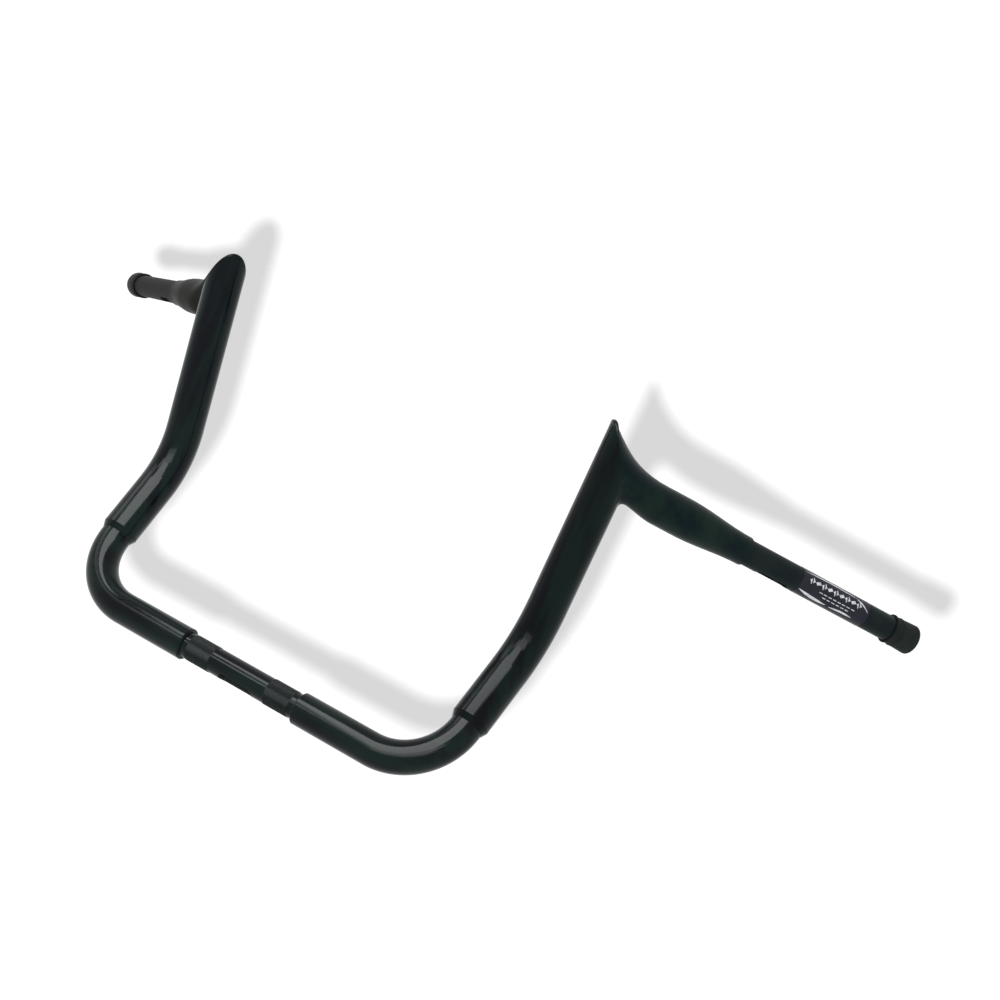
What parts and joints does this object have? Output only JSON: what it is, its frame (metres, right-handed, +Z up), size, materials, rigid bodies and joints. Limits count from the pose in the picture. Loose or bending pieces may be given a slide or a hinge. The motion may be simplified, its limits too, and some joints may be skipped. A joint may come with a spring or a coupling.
{
  "type": "ape hanger handlebar",
  "caption": "Welded ape hanger handlebar of stepped tubes, with kinked uprights, pointed mitred corners, tapered horns and swept-back grips.",
  "frame": {"origin": "on the centre tube's axis, midway between the two riser clamps", "axes": "+X across the bar to the rider's left hand, +Y back to the rider, +Z up"},
  "size_m": [1.029, 0.3621, 0.3643],
  "materials": {
    "clamp_tube": "gloss with matte knurled bands",
    "gloss_black": "gloss",
    "satin_black": "satin",
    "grip_black": "satin",
    "cap_vinyl": "soft vinyl",
    "label_film": "gloss film with a silver stripe motif"
  },
  "bodies": {
    "root": {"centre_clamp_tube": "clamp_tube", "left_bend_tube": "gloss_black", "right_bend_tube": "gloss_black", "left_upright_tube": "gloss_black", "right_upright_tube": "gloss_black", "left_horn": "satin_black", "right_horn": "satin_black", "left_grip_tube": "grip_black", "right_grip_tube": "grip_black", "left_end_cap": "cap_vinyl", "right_end_cap": "cap_vinyl", "grip_label": "label_film"}
  },
  "joints": []
}
